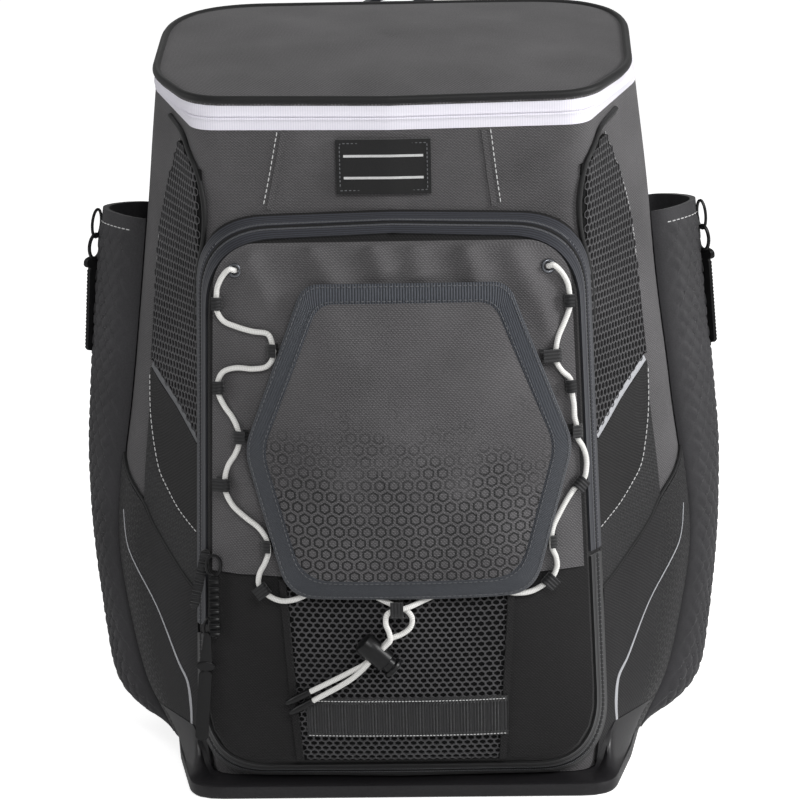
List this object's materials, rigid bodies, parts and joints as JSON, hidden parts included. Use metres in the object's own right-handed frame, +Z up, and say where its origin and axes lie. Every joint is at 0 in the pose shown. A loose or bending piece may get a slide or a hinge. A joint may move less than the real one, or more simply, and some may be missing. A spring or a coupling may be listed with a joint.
{
  "type": "baseball bat backpack",
  "caption": "Sports backpack with a zipped lid, a front pocket under a corded helmet flap, side sleeves for bats and padded shoulder straps.",
  "frame": {"origin": "middle of the underside of the base", "axes": "+Z up, -Y out of the front pocket, +X to the viewer's right"},
  "size_m": [0.4114, 0.3097, 0.484],
  "materials": {
    "charcoal_twill": "plain woven polyester twill, charcoal, matt",
    "black_twill": "plain woven polyester, black, matt",
    "air_mesh": "hexagon spacer mesh, black",
    "white_zipper": "white coated zipper tape",
    "graphite_zipper": "blue-grey zipper tape",
    "neoprene": "embossed neoprene",
    "base_cloth": "coated cloth, dark grey",
    "grosgrain": "ribbed grosgrain binding",
    "webbing": "black polyester webbing",
    "bungee": "white braided elastic cord",
    "acetal": "moulded black plastic",
    "gunmetal": "gunmetal plated steel eyelet"
  },
  "bodies": {
    "bag": {"base_panel": "base_cloth", "main_body": "charcoal_twill", "back_panel": "air_mesh", "top_lid": "charcoal_twill", "zipper_band_lower": "white_zipper", "zipper_band_upper": "white_zipper", "lid_hinge": "charcoal_twill", "front_pocket": "black_twill", "label_patch": "webbing", "haul_handle": "grosgrain", "pocket_zipper": "graphite_zipper", "pocket_zipper_lower": "black_twill", "pocket_panel_upper": "charcoal_twill", "pocket_mesh_lower": "air_mesh", "gear_webbing": "webbing", "front_pull_short": "webbing", "front_pull_ring": "acetal", "front_pull_long": "acetal", "helmet_flap": "charcoal_twill", "flap_binding": "grosgrain", "bottom_loop": "webbing", "bungee_left": "bungee", "bungee_right": "bungee", "cord_lock_barrel": "acetal", "cord_tip_a": "acetal", "cord_tip_b": "acetal", "side_mesh_l": "air_mesh", "side_wedge_l": "black_twill", "side_pocket_l": "black_twill", "bat_sleeve_l": "neoprene", "sleeve_pull_l": "acetal", "shoulder_strap_l": "black_twill", "strap_buckle_l": "acetal", "strap_webbing_l": "webbing", "grommet_l": "gunmetal", "side_loop_l1": "webbing", "side_loop_l2": "webbing", "side_loop_l3": "webbing", "side_loop_l4": "webbing", "flap_loop_l1": "webbing", "flap_loop_l2": "webbing", "flap_loop_l3": "webbing", "side_mesh_r": "air_mesh", "side_wedge_r": "black_twill", "side_pocket_r": "black_twill", "bat_sleeve_r": "neoprene", "sleeve_pull_r": "acetal", "shoulder_strap_r": "black_twill", "strap_buckle_r": "acetal", "strap_webbing_r": "webbing", "grommet_r": "gunmetal", "side_loop_r1": "webbing", "side_loop_r2": "webbing", "side_loop_r3": "webbing", "side_loop_r4": "webbing", "flap_loop_r1": "webbing", "flap_loop_r2": "webbing", "flap_loop_r3": "webbing"},
    "plunger": {"cord_lock_plunger": "acetal"}
  },
  "joints": [
    {"name": "cord_lock_press", "type": "slide", "parent": "bag", "child": "plunger", "axis": [-0.7259, -0.0519, 0.6858], "range_m": [0, 0.004], "stiffness_N_per_m": 800}
  ]
}
